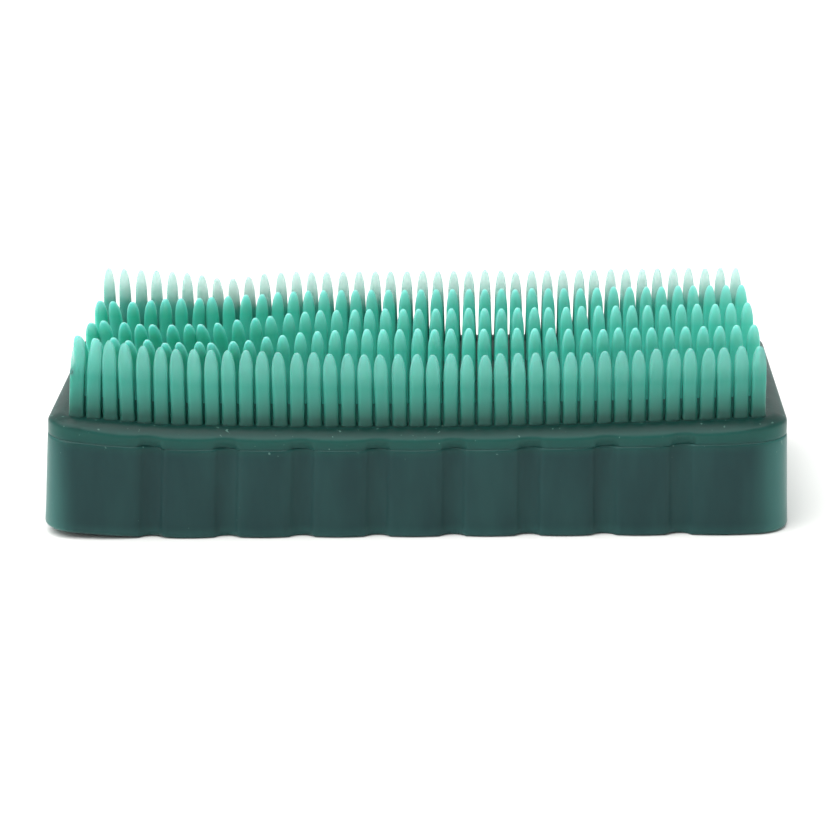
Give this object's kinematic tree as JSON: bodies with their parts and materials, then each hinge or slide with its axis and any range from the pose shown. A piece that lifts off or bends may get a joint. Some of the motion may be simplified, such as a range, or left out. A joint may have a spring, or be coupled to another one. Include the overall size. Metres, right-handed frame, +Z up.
{
  "type": "rubber bristle block",
  "caption": "Soft rubber brick with fluted long sides and rows of close-set flexible fingers on top, for gripping stems pushed down between the rows.",
  "frame": {"origin": "middle of the block's underside", "axes": "+X along the block's length, +Y from its front to its back, +Z up towards the finger tips"},
  "size_m": [0.1286, 0.0636, 0.0334],
  "materials": {
    "base_rubber": "satin, slightly translucent moulded rubber",
    "plate_rubber": "satin, slightly translucent moulded rubber",
    "finger_rubber": "satin, translucent moulded rubber with paler tips"
  },
  "bodies": {
    "block": {"base_block": "base_rubber", "bristle_plate": "plate_rubber"},
    "row_1": {"finger_row_1": "finger_rubber"},
    "row_2": {"finger_row_2": "finger_rubber"},
    "row_3": {"finger_row_3": "finger_rubber"},
    "row_4": {"finger_row_4": "finger_rubber"},
    "row_5": {"finger_row_5": "finger_rubber"}
  },
  "joints": [
    {"name": "row_1_lean", "type": "hinge", "parent": "block", "child": "row_1", "pos_m": [0, -0.02585, 0.0202], "axis": [1, 0, 0], "range_deg": [-20, 20], "stiffness_Nm_per_rad": 0.1},
    {"name": "row_2_lean", "type": "hinge", "parent": "block", "child": "row_2", "pos_m": [0, -0.01293, 0.0202], "axis": [1, 0, 0], "range_deg": [-20, 20], "stiffness_Nm_per_rad": 0.1},
    {"name": "row_3_lean", "type": "hinge", "parent": "block", "child": "row_3", "pos_m": [0, 0, 0.0202], "axis": [1, 0, 0], "range_deg": [-20, 20], "stiffness_Nm_per_rad": 0.1},
    {"name": "row_4_lean", "type": "hinge", "parent": "block", "child": "row_4", "pos_m": [0, 0.01293, 0.0202], "axis": [1, 0, 0], "range_deg": [-20, 20], "stiffness_Nm_per_rad": 0.1},
    {"name": "row_5_lean", "type": "hinge", "parent": "block", "child": "row_5", "pos_m": [0, 0.02585, 0.0202], "axis": [1, 0, 0], "range_deg": [-20, 20], "stiffness_Nm_per_rad": 0.1}
  ]
}
